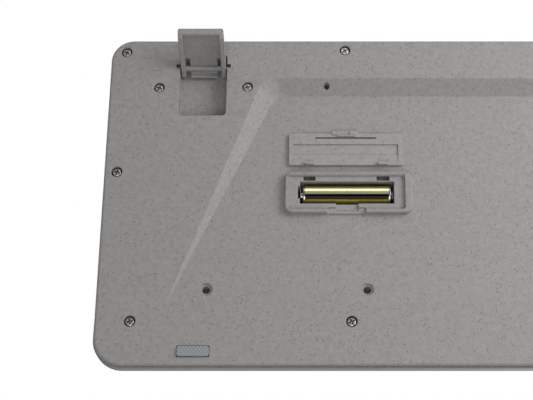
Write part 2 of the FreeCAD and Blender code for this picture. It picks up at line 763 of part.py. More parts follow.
def case_screws():
    """Sixteen like screws: a rounded head with a cross recess, and a plain shank."""
    radius, height = size("screw_head_radius"), size("screw_head_height")
    shapes = []
    for x, y in SCREWS:
        seat = wedge_height(y) + size("screw_seat_depth") - 0.02
        head = post_shape(0, 0, -height, 0, radius)
        rim = [e for e in head.Edges if abs(e.CenterOfMass.z + height) < 1e-6]
        head = head.makeFillet(height * 0.6, rim)
        for width, length in ((0.7, 2.9), (2.9, 0.7)):
            head = head.cut(box_shape(-width / 2, -length / 2, -height - 1, width / 2, length / 2, -height + 0.8))
        shank = post_shape(0, 0, -0.3, 6.1 - seat, size("screw_shank_radius"))
        screw = head.fuse(shank).removeSplitter()
        screw.rotate(Vector(0, 0, 0), Vector(0, 0, 1), (x * 7 + y * 3) % 90)
        screw.translate(Vector(x, y, seat))
        shapes.append(screw)
    return Part.makeCompound(shapes)


# ---------------------------------------------------------------- battery bay

def battery_door():
    """The door as it lies open behind the bay: hooks at its front edge, latch tab at the rear."""
    body = new_body("battery_door")
    axis_height = "-(rim_height + door_play) / 2"
    inner = "-door_thickness - door_play"
    plate = new_sketch(body, "door_plate", "XY_Plane", inner)
    front = "(2 * hinge_line - ledge_rear + door_gap)"
    rear = "(2 * hinge_line - ledge_front - door_gap)"
    left, right = "(ledge_left + door_gap)", "(ledge_right - door_gap)"
    rounded_outline(plate, left, front, right, rear, "1", "1")
    pad(body, plate, "door_thickness")

    thumb = new_sketch(body, "door_thumb", "XY_Plane", inner)
    rounded_outline(thumb, "98.6", f"{rear} - 1", "112.6", f"{rear} + 1.4", "0.4", "1")
    pad(body, thumb, "door_thickness - 0.3")
    for word, start, stop in (("left", "99.3", "103.1"), ("right", "107.8", "111.9")):
        grip = new_sketch(body, f"door_grip_{word}", "XY_Plane", inner)
        rounded_outline(grip, start, f"{rear} - 0.9", stop, f"{rear} + 1.2", "0.6", "0.6")
        pad(body, grip, "0.5", reverse=True)
    barb = new_sketch(body, "door_barb", "XY_Plane", inner)
    rectangle(barb, "100.4", f"{rear} - 1.9", "109.2", f"{rear} - 1.1")
    pad(body, barb, "0.9", reverse=True)
    slit = new_sketch(body, "door_slit", "XY_Plane", "0")
    rounded_outline(slit, "89.6", f"{rear} - 2.9", "120.4", f"{rear} - 2.2", "0.3", "0.3")
    pocket(body, slit, "3")

    groove = new_sketch(body, "door_groove", "XY_Plane", f"{inner} + 0.7")
    rounded_outline(groove, "78.9", "2 * hinge_line - bay_row - 2.7", "131.4", "2 * hinge_line - bay_row + 3",
                    "0.4", "0.4")
    pocket(body, groove, "2")
    panel = new_sketch(body, "door_panel", "XY_Plane", f"{inner} + 0.25")
    rounded_outline(panel, "78.9", f"{front} + 1.9", "89.5", "2 * hinge_line - bay_row", "0.4", "0.4")
    pocket(body, panel, "2")

    for side, start, stop in (("right", "120.8", "125.4"), ("left", "84.3", "89.3")):
        hook = new_sketch(body, f"door_hook_{side}", "YZ_Plane", start)
        outline(hook, [(f"{front} + 1.5", f"{inner} + 0.4"), (f"{front} + 1.3", f"{inner} - 1.6"),
                       (f"{front} - 0.25", f"{inner} - 1.6"), (f"{front} + 0.05", inner),
                       (f"{front} + 0.05", f"{inner} + 0.4")])
        pad(body, hook, f"{stop} - {start}")
    return body, size(axis_height)


def battery_cell():
    """A AAA cell, nub to the right."""
    centre, row = size("bay_centre"), size("bay_row")
    radius, sleeve = size("cell_radius"), size("cell_sleeve")
    height = size(f"{LEDGE} - cell_proud") + radius
    start = Vector(centre - sleeve / 2, row, height)
    along = Vector(1, 0, 0)
    can = Part.makeCylinder(radius, sleeve, start, along)
    can = can.makeFillet(0.5, [e for e in can.Edges if e.Curve.TypeId == "Part::GeomCircle"])
    nub = Part.makeCylinder(size("cell_nub_radius"), size("cell_nub_height") + 0.5,
                            start + along * (sleeve - 0.5), along)
    dimple = Part.makeCylinder(radius - 1.3, 0.25, start, along)
    return can.fuse(nub).cut(dimple).removeSplitter(), height


def contact_plate(height):
    """The sprung positive plate at the nub's end of the well."""
    left = size("bay_centre + cell_sleeve / 2 + cell_nub_height + 0.02")
    row = size("bay_row")
    return box_shape(left, row - 2.5, height - 3.6, left + 0.25, row + 2.5, height + 3.6)


def contact_spring(height):
    """Envelope of the negative coil: a short cone of wire against the cell's flat end."""
    end = size("bay_centre - cell_sleeve / 2")
    gap = end - size("bay_centre - well_length / 2")
    low = Vector(end - gap, size("bay_row"), height)
    outer = Part.makeCone(3.6, 2.4, gap - 0.02, low, Vector(1, 0, 0))
    inner = Part.makeCone(3.1, 1.9, gap - 0.02, low, Vector(1, 0, 0))
    return outer.cut(inner)


# ---------------------------------------------------------------- membrane stack and board

def stack_sheet(low, thickness, right_limit=None):
    """A flat sheet over the key area, notched round the battery well and the foot screws."""
    half = size("stack_half_width")
    sheet = box_shape(-half, size("stack_front"), low, half, size("stack_rear"), low + thickness)
    row, reach = size("bay_row"), size("well_width / 2 + well_wall + 0.4")
    left = size("bay_centre - well_length / 2 - well_wall - 0.4")
    right = size("bay_centre + well_length / 2 + 2.8")
    cuts = [box_shape(left, row - reach, low - 1, right, row + reach, low + 2)]
    cuts += [post_shape(x, y, low - 1, low + 2, size("boss_radius") + 0.5) for x, y in FOOT_SCREWS]
    if right_limit is not None:
        cuts.append(box_shape(right_limit, size("board_front") - 0.8, low - 1, half + 1, 180, low + 2))
    return sheet.cut(Part.makeCompound(cuts))


def dome_mat(low):
    """A silicone sheet with a hollow collapsing dome under every key."""
    thickness = size("mat_thickness")
    crown = size("stem_bottom") - 0.1
    radius, top_radius, wall = size("dome_radius"), size("dome_crown"), size("dome_wall")
    height = crown - low
    solid = Part.makeCone(radius, top_radius, height)
    hollow = Part.makeCone(radius - wall, top_radius - wall, height - 1.0)
    bell = solid.cut(hollow)
    bells = [bell.translated(Vector(x, y, low)) for x, y, _ in ALL_KEYS]
    vents = [post_shape(x, y, low - 1, low + 1, radius - wall) for x, y, _ in ALL_KEYS]
    mat = stack_sheet(low, thickness, PAD_LEFT + 1).cut(Part.makeCompound(vents))
    return mat.multiFuse(bells).removeSplitter()


def controller_parts(low):
    """Board, chip, clamp bar, clamp screws, lamps and lens, in a row behind the number pad."""
    top = low + size("board_thickness")
    left, right = size("board_left"), size("board_right")
    front, rear = size("board_front"), size("board_rear")
    screws = [(left + 4, front + 1.9), (right - 4, front + 1.9)]
    holes = Part.makeCompound([post_shape(x, y, low - 3, top + 3, 1.05) for x, y in screws])
    parts = {}
    parts["controller_board"] = box_shape(left, front, low, right, rear, top).cut(holes)
    parts["controller_chip"] = box_shape(197, 151.6, top, 203, 157.6, top + 0.9)
    bar = box_shape(left + 1, front + 0.4, top, right - 1, front + 3.4, top + 1.2)
    parts["membrane_clamp_bar"] = bar.cut(holes)
    heads = [post_shape(x, y, top + 1.2, top + 2.0, 1.7).fuse(post_shape(x, y, 0, top + 1.3, 1.0))
             for x, y in screws]
    parts["board_screws"] = Part.makeCompound([head.removeSplitter() for head in heads])
    row = size("led_row")
    lamps = [box_shape(x - 0.8, row - 0.6, top, x + 0.8, row + 0.6, top + 0.8) for x in LED_COLUMNS]
    parts["status_leds"] = Part.makeCompound(lamps)
    lens = box_shape(LED_COLUMNS[0] - 3, row - 1.9, 8.6, LED_COLUMNS[-1] + 3, row + 1.9, size("deck_under"))
    pipes = [post_shape(x, row, 5.2, size("deck_top"), 1.5) for x in LED_COLUMNS]
    parts["indicator_lens"] = lens.multiFuse(pipes).removeSplitter()
    return parts, screws


def wire(points, radius):
    """A round wire through its points, with an arc in every corner."""
    points = [Vector(*p) for p in points]
    edges = []
    start = points[0]
    for before, corner, after in zip(points, points[1:], points[2:]):
        came = (corner - before).normalize()
        goes = (after - corner).normalize()
        back = 0.45 * min((corner - before).Length, (after - corner).Length)
        first, last = corner - came * back, corner + goes * back
        bend = came.getAngle(goes)
        depth = back * math.tan(bend / 4)
        inward = (goes - came).normalize()
        middle = (first + last) * 0.5 - inward * depth
        edges += [Part.makeLine(start, first), Part.Arc(first, middle, last).toShape()]
        start = last
    edges.append(Part.makeLine(start, points[-1]))
    path = Part.Wire(edges)
    ring = Part.Wire(Part.makeCircle(radius, points[0], (points[1] - points[0]).normalize()))
    return path.makePipeShell([ring], True, False)


def battery_wires():
    """The two leads from the bay to the board, laid in the channel beside the number pad."""
    lead = 0.55
    on_board = size("inner_floor + 3 * sheet_thickness + board_thickness") + lead + 0.02
    wall = size("bay_centre + well_length / 2 + 2.3")
    red = [(wall, 88.4, 4.6), (wall + 3.2, 88.4, 4.4), (wall + 5.6, 94, 4.2), (wall + 5.6, 128, 4.2),
           (wall + 7.4, 142, 4.4), (141.8, 154.6, on_board), (149.6, 155.6, on_board)]
    black = [(wall, 84.0, 4.6), (wall + 4.2, 84.0, 4.4), (wall + 7.2, 91, 4.2), (wall + 7.2, 128, 4.2),
             (wall + 9.2, 141, 4.4), (143.8, 152, on_board), (151.6, 153.6, on_board)]
    return wire(red, lead), wire(black, lead)


# ---------------------------------------------------------------- keys

def key_master(name, width, depth, dished=True):
    """A hollow cap with its square stem, centred on its own key place."""
    body = new_body(name)
    half_w = f"(({width}) / 2 - key_gap / 2)"
    half_d = f"(({depth}) / 2 - key_gap / 2)"

    def layer(label, level, inset, radius):
        sketch = new_sketch(body, f"{name}_{label}", "XY_Plane", level)
        rounded_outline(sketch, f"-({half_w} - {inset})", f"-({half_d} - {inset})",
                        f"{half_w} - {inset}", f"{half_d} - {inset}", radius, radius)
        return sketch

    # the crown's edge is a quarter round in three ruled steps
    steps = []
    for turn in (0, 30, 60, 90):
        inset = f"(cap_taper + cap_edge * (1 - cos({turn})))"
        steps.append(layer(f"crown_{turn}", f"cap_top - cap_edge * (1 - sin({turn}))", inset,
                           f"cap_corner - cap_edge * (1 - cos({turn}))"))
    loft(body, "AdditiveLoft", layer("skirt", "cap_skirt", "0", "cap_corner"), *steps)
    if dished:
        dish = new_sketch(body, f"{name}_dish", "XZ_Plane", "0")
        sweep = f"(({half_w} - cap_taper - 1.5)^2 / (2 * dish_depth))"
        circle(dish, "0", f"cap_top - dish_depth + {sweep}", sweep)
        pocket(body, dish, "100", middle=True)
    hollow = layer("hollow", "cap_skirt", "(cap_taper + cap_wall - 0.6)", "1")
    pocket(body, hollow, "cap_top - cap_roof - cap_skirt", reverse=True)
    stem = new_sketch(body, f"{name}_stem", "XY_Plane", "stem_bottom")
    rectangle(stem, "-stem_side / 2", "-stem_side / 2", "stem_side / 2", "stem_side / 2")
    pad(body, stem, "cap_top - cap_roof + 0.3 - stem_bottom")
    return body


def key_masters():
    pitch = "key_pitch"
    masters = {}
    for width in (1, 1.25, 1.5, 1.75, 2, 2.25, 2.75, 6.25):
        word = str(width).replace(".", "_")
        masters[width] = key_master(f"cap_{word}", f"{width} * {pitch}", pitch, dished=width < 3)
    masters["tall"] = key_master("cap_tall", pitch, f"2 * {pitch}")
    masters["function"] = key_master("cap_function", pitch, "function_depth")
    return masters


def key_shape(masters, keys):
    solids = []
    for x, y, width in keys:
        kind = "function" if abs(y - ROWS["function"]) < 1e-6 else width
        solids.append(masters[kind].Shape.Solids[0].translated(Vector(x, y, 0)))
    return Part.makeCompound(solids)


# ---------------------------------------------------------------- assembly

def stance(shapes):
    """Tips the deck frame onto pads and feet, with the origin under the middle of the keyboard."""
    tip_y, tip_z = foot_tip()
    sole_y = size("pad_front") + 0.4
    sole_z = wedge_height(sole_y) - size("pad_proud / cos(wedge_angle)")
    tilt = math.degrees(math.atan2(sole_z - tip_z, tip_y - sole_y))
    turn = Placement(Vector(0, 0, 0), Rotation(Vector(1, 0, 0), tilt))
    boxes = []
    for shape, place in shapes:
        copy = shape.copy()
        copy.Placement = turn.multiply(place)
        boxes.append(copy.optimalBoundingBox(False))
    low = min(b.ZMin for b in boxes)
    middle = (min(b.YMin for b in boxes) + max(b.YMax for b in boxes)) / 2
    print(f"tilt {tilt:.3f} degrees, lowest {low:.3f}, middle {middle:.3f}")
    return Placement(Vector(0, -middle, -low), turn.Rotation), tilt


def trim_foot_tips(foot_body, name, side, tilt):
    """Grinds the tip of a foot flat, so that its whole edge meets the desk."""
    tip_y, tip_z = foot_tip()
    block = Part.makeBox(60, 60, 20, Vector(-30, -30, -20))
    level = Placement(Vector(0, tip_y, tip_z), Rotation(Vector(1, 0, 0), -tilt))
    block.Placement = foot_placement(side).inverse().multiply(level).multiply(
        Placement(Vector(side * size("foot_centre"), 0, 0), Rotation()))
    tool = solid_feature(f"{name}_desk", block)
    return combine(f"{name}_ground", "Cut", foot_body, tool)


def build():
    identity = Placement()
    nodes = {}

    cover = combine("cover_with_bosses", "Fuse", bottom_cover(), solid_feature("cover_bosses", cover_bosses()))
    nodes["bottom_cover"] = (combine("cover_drilled", "Cut", cover, solid_feature("cover_holes", cover_holes())),
                             identity)

    bed = combine("deck_with_bed", "Fuse", top_case(), solid_feature("key_bed", key_bed()))
    opened = combine("deck_opened", "Cut", bed, solid_feature("key_openings", key_openings()))
    posts = solid_feature("chimneys_and_bosses", Part.makeCompound([chimneys(), deck_bosses()]))
    deck = combine("deck_with_chimneys", "Fuse", opened, posts)
    nodes["top_case"] = (combine("deck_drilled", "Cut", deck, solid_feature("stem_holes", stem_holes())),
                         identity)

    feet = {}
    for word, side in (("right", 1), ("left", -1)):
        feet[word] = tilt_foot(f"foot_{word}")
        nodes[f"rubber_pad_{word}"] = rubber_pad(f"pad_{word}", side)
    nodes["case_screws"] = (solid_feature("screws", case_screws()), identity)

    door, axis_height = battery_door()
    nodes["battery_door"] = (door, identity)
    cell, height = battery_cell()
    nodes["battery_cell"] = (solid_feature("cell", cell), identity)
    nodes["battery_contact_plate"] = (solid_feature("plate", contact_plate(height)), identity)
    nodes["battery_contact_spring"] = (solid_feature("spring", contact_spring(height)), identity)

    low, step = size("inner_floor"), size("sheet_thickness")
    controller, clamp_screws = controller_parts(low + 3 * step)
    pierced = Part.makeCompound([post_shape(x, y, 0, 6, 1.05) for x, y in clamp_screws])
    for i, name in enumerate(("membrane_bottom_sheet", "membrane_spacer", "membrane_top_sheet")):
        nodes[name] = (solid_feature(f"sheet_{i}", stack_sheet(low + i * step, step).cut(pierced)), identity)
    nodes["dome_mat"] = (solid_feature("mat", dome_mat(low + 3 * step)), identity)
    for name, shape in controller.items():
        nodes[name] = (solid_feature(f"{name}_solid", shape), identity)
    red, black = battery_wires()
    nodes["battery_wire_red"] = (solid_feature("red_lead", red), identity)
    nodes["battery_wire_black"] = (solid_feature("black_lead", black), identity)

    # the clamp screws bite into the cover's floor
    sockets = Part.makeCompound([post_shape(x, y, -0.1, 3, 1.05) for x, y in clamp_screws])
    nodes["bottom_cover"] = (combine("cover_finished", "Cut", nodes["bottom_cover"][0],
                                     solid_feature("clamp_sockets", sockets)), identity)

    masters = key_masters()
    DOC.recompute()
    for name, keys in KEY_NODES.items():
        nodes[name] = (solid_feature(f"{name}_solid", key_shape(masters, keys)), identity)

    DOC.recompute()
    rough = [(item.Shape, place) for item, place in nodes.values()]
    _, tilt = stance(rough)
    for word, side in (("right", 1), ("left", -1)):
        ground = trim_foot_tips(feet[word], f"foot_{word}", side, tilt)
        DOC.recompute()
        nodes[f"tilt_foot_{word}"] = (ground, foot_placement(side))
    final, tilt = stance([(item.Shape, place) for item, place in nodes.values()])

    for name, (item, place) in nodes.items():
        item.Label = name
        item.Placement = final.multiply(place)
    DOC.recompute()
    report_places(final, axis_height, tilt)
    return {name: item for name, (item, _) in nodes.items()}


def report_places(final, axis_height, tilt):
    """Prints the hinge lines and faces in the keyboard's own frame, for whoever fits joints to it."""
    y, z = pivot()
    places = {
        "foot hinge": Vector(size("foot_centre"), y, z),
        "door hinge": Vector(size("bay_centre"), size("hinge_line"), axis_height),
        "pad sole": Vector(size("foot_centre"), size("pad_front + pad_depth / 2"),
                           wedge_height(size("pad_front + pad_depth / 2"))
                           - size("pad_proud / cos(wedge_angle)")),
        "foot tip": Vector(size("foot_centre"), *foot_tip()),
    }
    for word, point in places.items():
        moved = final.multVec(point)
        print(f"{word}: {moved.x:.3f} {moved.y:.3f} {moved.z:.3f}")
    for word, way in (("deck up", Vector(0, 0, 1)), ("sole out", Vector(0, -math.sin(math.radians(
            size("wedge_angle"))), -math.cos(math.radians(size("wedge_angle")))))):
        turned = final.Rotation.multVec(way)
        print(f"{word}: {turned.x:.5f} {turned.y:.5f} {turned.z:.5f}")


def check_and_write(nodes):
    broken = [o.Name for o in DOC.Objects if {"Invalid", "Error"} & set(o.State)]
    if broken:
        raise ValueError(f"failed objects: {broken}")
    os.makedirs("parts", exist_ok=True)
    for name, item in nodes.items():
        shape = item.Shape
        if shape.isNull() or not shape.isValid():
            raise ValueError(f"{name} has no valid shape")
    for name, item in nodes.items():
        item.Shape.exportStep(f"parts/{name}.step")
        print(f"{name}: {len(item.Shape.Solids)} solids, {item.Shape.Volume:.1f} mm3")


check_and_write(build())
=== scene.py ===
"""The looks of the wireless keyboard: speckled plastic, printed keys, foil cell and plated screws.

Lengths are in metres. The deck frame is the one that the case is laid out in: X to the right, Y to the
rear and Z up, with the key deck level and the floor of the underside's recess at Z = 0.
"""
import json
import math

import bmesh
import bpy
from mathutils import Matrix, Vector
from mathutils.bvhtree import BVHTree


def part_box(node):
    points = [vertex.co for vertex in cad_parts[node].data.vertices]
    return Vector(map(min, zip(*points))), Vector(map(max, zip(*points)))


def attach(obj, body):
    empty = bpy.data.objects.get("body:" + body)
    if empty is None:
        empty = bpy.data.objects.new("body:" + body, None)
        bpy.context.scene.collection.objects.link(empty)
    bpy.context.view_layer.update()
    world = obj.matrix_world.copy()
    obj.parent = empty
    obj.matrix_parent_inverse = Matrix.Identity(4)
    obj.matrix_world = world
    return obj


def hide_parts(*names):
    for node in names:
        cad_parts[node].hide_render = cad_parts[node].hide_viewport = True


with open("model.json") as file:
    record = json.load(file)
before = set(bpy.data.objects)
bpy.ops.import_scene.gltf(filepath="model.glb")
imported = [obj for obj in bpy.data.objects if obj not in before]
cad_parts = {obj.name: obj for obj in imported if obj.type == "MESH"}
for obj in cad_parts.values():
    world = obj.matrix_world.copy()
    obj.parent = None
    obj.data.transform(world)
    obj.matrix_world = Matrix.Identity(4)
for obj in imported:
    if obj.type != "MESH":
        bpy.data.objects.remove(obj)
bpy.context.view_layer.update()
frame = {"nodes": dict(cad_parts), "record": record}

MM = 0.001
JOINTS = {joint["name"]: joint for joint in frame["record"]["behaviour"]["joints"]}
BODY_OF = {node: body for body, nodes in frame["record"]["behaviour"]["bodies"].items() for node in nodes}

# the deck frame, from the direction that the keys travel and the door's hinge line
DOOR_HINGE_IN_DECK = Vector((104.6, 98.7, -1.725)) * MM
WEDGE_ANGLE = math.radians(3.5)
WEDGE_START = 29.4 * MM


def deck_matrix():
    """Takes a point of the deck frame to the row frame."""
    down = Vector(JOINTS["key_space_press"]["axis"])
    tilt = math.atan2(down.y, -down.z)
    turn = Matrix.Rotation(tilt, 4, "X")
    shift = Vector(JOINTS["door_close"]["pos_m"]) - turn @ DOOR_HINGE_IN_DECK
    return Matrix.Translation(shift) @ turn


DECK = deck_matrix()


def wedge_point(x, along):
    """A point on the wedge underside, that far from the front edge."""
    return DECK @ Vector((x, along, -(along - WEDGE_START) * math.tan(WEDGE_ANGLE)))


UNDERSIDE_OUT = (DECK.to_3x3() @ Vector((0, -math.sin(WEDGE_ANGLE), -math.cos(WEDGE_ANGLE)))).normalized()
UNDERSIDE_REAR = (DECK.to_3x3() @ Vector((0, math.cos(WEDGE_ANGLE), -math.sin(WEDGE_ANGLE)))).normalized()
DECK_UP = (DECK.to_3x3() @ Vector((0, 0, 1))).normalized()


# ---------------------------------------------------------------- camera, floor and light

def look(place, back, up):
    """A placement that looks against back, with up as near the top of the view as it can be."""
    back = back.normalized()
    right = up.cross(back).normalized()
    over = back.cross(right)
    turn = Matrix((right, over, back)).transposed().to_4x4()
    return Matrix.Translation(place) @ turn


def make_camera():
    """Looks at the underside from 70 degrees above it, on the front edge's side."""
    elevation = math.radians(70)
    distance = 0.5933
    # the optical axis meets the underside here, and the view is shifted so that more of the case is in it
    aim_right, aim_along = 0.1144, 0.0823
    aim = wedge_point(aim_right, aim_along)
    back = UNDERSIDE_OUT * math.sin(elevation) - UNDERSIDE_REAR * math.cos(elevation)
    data = bpy.data.cameras.new("camera")
    data.lens = 82.0
    data.sensor_width = 36
    data.shift_x = -0.1135
    data.clip_start = 0.01
    camera = bpy.data.objects.new("camera", data)
    camera.matrix_world = look(aim + back * distance, back, UNDERSIDE_REAR)
    bpy.context.scene.collection.objects.link(camera)
    bpy.context.scene.camera = camera


def area_light(name, aim, direction, distance, width, power, colour=(1, 1, 1)):
    data = bpy.data.lights.new(name, "AREA")
    data.shape = "DISK"
    data.size = width
    data.energy = power
    data.color = colour
    light = bpy.data.objects.new(name, data)
    direction = direction.normalized()
    light.matrix_world = look(aim + direction * distance, direction, Vector((0.1, 0.2, 1)))
    bpy.context.scene.collection.objects.link(light)


def make_lights():
    middle = wedge_point(0.1, 0.08)
    side = Vector((-1, 0, 0))
    # a near lamp stands low beyond the underside's right, and weaker ones beyond its rear and front edges
    area_light("under_key", middle, UNDERSIDE_OUT * 1.3 + UNDERSIDE_REAR * 0.5 + side * 1.6, 0.62, 0.45, 2.7,
               (1.0, 0.985, 0.96))
    area_light("under_rear", middle, UNDERSIDE_OUT * 0.7 + UNDERSIDE_REAR, 0.6, 0.3, 0.3, (1.0, 0.99, 0.97))
    area_light("under_front", middle, UNDERSIDE_OUT * 1.05 - UNDERSIDE_REAR * 0.85, 1.0, 0.6, 2.9,
               (0.98, 0.99, 1.0))
    # the keys are lit from the front left and from the right
    area_light("deck_key", Vector((0, 0, 0)), Vector((-0.6, -0.5, 1.0)), 1.8, 0.9, 33, (1.0, 0.98, 0.95))
    area_light("deck_fill", Vector((0, 0, 0)), Vector((0.9, 0.5, 0.8)), 1.9, 1.2, 8, (0.94, 0.96, 1.0))


def make_world():
    """White where it is seen, and a soft grey where it lights."""
    world = bpy.data.worlds.new("studio")
    world.use_nodes = True
    nodes, links = world.node_tree.nodes, world.node_tree.links
    nodes.clear()
    seen = nodes.new("ShaderNodeBackground")
    seen.inputs["Color"].default_value = (1, 1, 1, 1)
    ambient = nodes.new("ShaderNodeBackground")
    ambient.inputs["Color"].default_value = (0.985, 0.99, 1.0, 1)
    ambient.inputs["Strength"].default_value = 0.27
    ray = nodes.new("ShaderNodeLightPath")
    choose = nodes.new("ShaderNodeMixShader")
    out = nodes.new("ShaderNodeOutputWorld")
    links.new(ray.outputs["Is Camera Ray"], choose.inputs["Fac"])
    links.new(ambient.outputs[0], choose.inputs[1])
    links.new(seen.outputs[0], choose.inputs[2])
    links.new(choose.outputs[0], out.inputs["Surface"])
    bpy.context.scene.world = world


def make_floor():
    """A pale desk that shows only from above, so that the underside can be seen through it."""
    mesh = bpy.data.meshes.new("floor")
    half = 4.0
    corners = [(-half, -half, 0), (half, -half, 0), (half, half, 0), (-half, half, 0)]
    mesh.from_pydata(corners, [], [(0, 1, 2, 3)])
    floor = bpy.data.objects.new("floor", mesh)
    bpy.context.scene.collection.objects.link(floor)
    material = bpy.data.materials.new("floor_paint")
    material.use_nodes = True
    tree = Tree(material)
    grain = tree.add("ShaderNodeTexNoise", {"Vector": tree.place(), "Scale": 9.0, "Detail": 3.0})
    tone = tree.mix(grain.outputs["Fac"], (0.50, 0.50, 0.495, 1), (0.54, 0.54, 0.535, 1))
    tree.link(tone, tree.shader.inputs["Base Color"])
    tree.shader.inputs["Roughness"].default_value = 0.9
    # a little light of its own keeps the far end of the desk pale
    tree.shader.inputs["Emission Color"].default_value = (1, 1, 1, 1)
    tree.shader.inputs["Emission Strength"].default_value = 0.42
    material.cycles.emission_sampling = "NONE"
    facing = tree.add("ShaderNodeNewGeometry")
    clear = tree.add("ShaderNodeBsdfTransparent")
    choose = tree.add("ShaderNodeMixShader", {"Fac": facing.outputs["Backfacing"]})
    tree.link(tree.shader.outputs[0], choose.inputs[1])
    tree.link(clear.outputs[0], choose.inputs[2])
    tree.link(choose.outputs[0], tree.out.inputs["Surface"])
    mesh.materials.append(material)
    floor.visible_shadow = False
    floor.visible_diffuse = False
    floor.visible_glossy = False


# ---------------------------------------------------------------- materials

class Tree:
    """A material's nodes, with short ways to add and join them."""

    def __init__(self, material):
        self.nodes = material.node_tree.nodes
        self.links = material.node_tree.links
        self.shader = self.nodes["Principled BSDF"]
        self.out = self.nodes["Material Output"]

    def link(self, source, target):
        self.links.new(source, target)

    def add(self, kind, inputs=None, **settings):
        node = self.nodes.new(kind)
        for name, value in settings.items():
            setattr(node, name, value)
        for name, value in (inputs or {}).items():
            if isinstance(value, bpy.types.NodeSocket):
                self.link(value, node.inputs[name])
            else:
                node.inputs[name].default_value = value
        return node

    def place(self, turn=(0, 0, 0), stretch=(1, 1, 1)):
        """The point on the object, turned and stretched."""
        source = self.add("ShaderNodeTexCoord").outputs["Object"]
        inputs = {"Vector": source, "Rotation": turn, "Scale": stretch}
        return self.add("ShaderNodeMapping", inputs).outputs["Vector"]

    def math(self, operation, first, second=0.0, clamp=False):
        node = self.add("ShaderNodeMath", {0: first, 1: second}, operation=operation, use_clamp=clamp)
        return node.outputs[0]

    def fit(self, value, low, high, first=0.0, last=1.0):
        inputs = {"Value": value, "From Min": low, "From Max": high, "To Min": first, "To Max": last}
        return self.add("ShaderNodeMapRange", inputs, clamp=True).outputs[0]

    def mix(self, factor, first, second):
        node = self.add("ShaderNodeMix", data_type="RGBA")
        for socket, value in zip((node.inputs[0], node.inputs[6], node.inputs[7]), (factor, first, second)):
            if isinstance(value, bpy.types.NodeSocket):
                self.link(value, socket)
            else:
                socket.default_value = value
        return node.outputs[2]

    def noise(self, scale, detail=2.0, **place):
        inputs = {"Vector": self.place(**place), "Scale": scale, "Detail": detail}
        return self.add("ShaderNodeTexNoise", inputs).outputs["Fac"]

    def bump(self, height, strength, distance, soften=0.0):
        """Fine relief, on edges that look rounded to the softening radius."""
        inputs = {"Height": height, "Strength": strength, "Distance": distance}
        if soften:
            inputs["Normal"] = self.add("ShaderNodeBevel", {"Radius": soften}, samples=6).outputs[0]
        self.link(self.add("ShaderNodeBump", inputs).outputs[0], self.shader.inputs["Normal"])


def new_material(name, colour, roughness, metallic=0.0, specular=0.5):
    material = bpy.data.materials.new(name)
    material.use_nodes = True
    tree = Tree(material)
    tree.shader.inputs["Base Color"].default_value = (*colour, 1)
    tree.shader.inputs["Roughness"].default_value = roughness
    tree.shader.inputs["Metallic"].default_value = metallic
    tree.shader.inputs["Specular IOR Level"].default_value = specular
    return material, tree


def fleck_mask(tree, scale, stretch, turn, share, reach):
    """Spots of one kind, in loose clusters: a share of the cells of a stretched pattern holds one each."""
    cells = tree.add("ShaderNodeTexVoronoi", {"Vector": tree.place(turn, stretch), "Scale": scale})
    pick = tree.add("ShaderNodeSeparateColor", {"Color": cells.outputs["Color"]})
    crowd = tree.fit(tree.noise(scale * 0.12, 2.0, turn=turn), 0.35, 0.65, share * 0.4, share * 1.7)
    chosen = tree.math("LESS_THAN", pick.outputs["Red"], crowd)
    size = tree.fit(pick.outputs["Green"], 0, 1, reach * 0.5, reach)
    edge = tree.math("DIVIDE", cells.outputs["Distance"], size)
    spot = tree.fit(edge, 0.75, 1.15, 1.0, 0.0)
    return tree.math("MULTIPLY", spot, chosen)


def speckled_plastic(name, base, roughness=0.55, fleck=1.0, soften=0.0):
    """Plastic filled with ground straw: a mottled ground with fine dark, rusty and pale flecks, and painted
    shade in its hollows.
    """
    material, tree = new_material(name, base, roughness, specular=0.3)
    darker = tuple(0.93 * c for c in base) + (1,)
    lighter = tuple(min(1.0, 1.07 * c) for c in base) + (1,)
    ground = tree.mix(tree.fit(tree.noise(420, 4.0), 0.3, 0.7), darker, lighter)
    layers = [
        ((0.12, 0.09, 0.07), 1000, (1, 0.6, 1), (0.3, 0.1, 0.7), 0.32, 0.34, 0.55),
        ((0.10, 0.09, 0.08), 720, (0.6, 1, 1), (0.2, 0.5, 2.1), 0.16, 0.26, 0.50),
        ((0.27, 0.17, 0.12), 820, (1, 0.55, 1), (0.9, 0.2, 1.4), 0.26, 0.32, 0.50),
        ((0.70, 0.67, 0.60), 1000, (0.8, 1, 1), (0.4, 0.8, 0.2), 0.24, 0.30, 0.24),
    ]
    colour = ground
    for tint, scale, stretch, turn, share, reach, weight in layers:
        spots = tree.math("MULTIPLY", fleck_mask(tree, scale, stretch, turn, share, reach), weight * fleck)
        colour = tree.mix(spots, colour, (*tint, 1))
    # painted shade: bores, slots and other hollows are darkened towards near-black in the colour, by ambient
    # occlusion
    open_sky = tree.add("ShaderNodeAmbientOcclusion", {"Distance": 3.5 * MM}, samples=6).outputs["AO"]
    colour = tree.mix(tree.fit(open_sky, 0.10, 0.34), (0.035, 0.032, 0.03, 1), colour)
    tree.link(colour, tree.shader.inputs["Base Color"])
    rough = tree.fit(tree.noise(700, 2.0), 0.3, 0.7, roughness - 0.06, roughness + 0.08)
    tree.link(rough, tree.shader.inputs["Roughness"])
    tree.bump(tree.noise(2600, 3.0), 0.2, 0.0001, soften)
    return material


def ribbed_rubber(name):
    """Pale blue-grey rubber with a fine lozenge pattern."""
    material, tree = new_material(name, (0.30, 0.32, 0.335), 0.7, specular=0.3)
    bands = []
    for lean in (38, -38):
        inputs = {"Vector": tree.place((0, 0, math.radians(lean))), "Scale": 230.0}
        bands.append(tree.add("ShaderNodeTexWave", inputs, wave_type="BANDS").outputs["Fac"])
    ribs = tree.math("MINIMUM", *bands)
    tree.link(tree.mix(ribs, (0.25, 0.265, 0.28, 1), (0.40, 0.42, 0.43, 1)), tree.shader.inputs["Base Color"])
    tree.bump(ribs, 0.4, 0.0003)
    return material


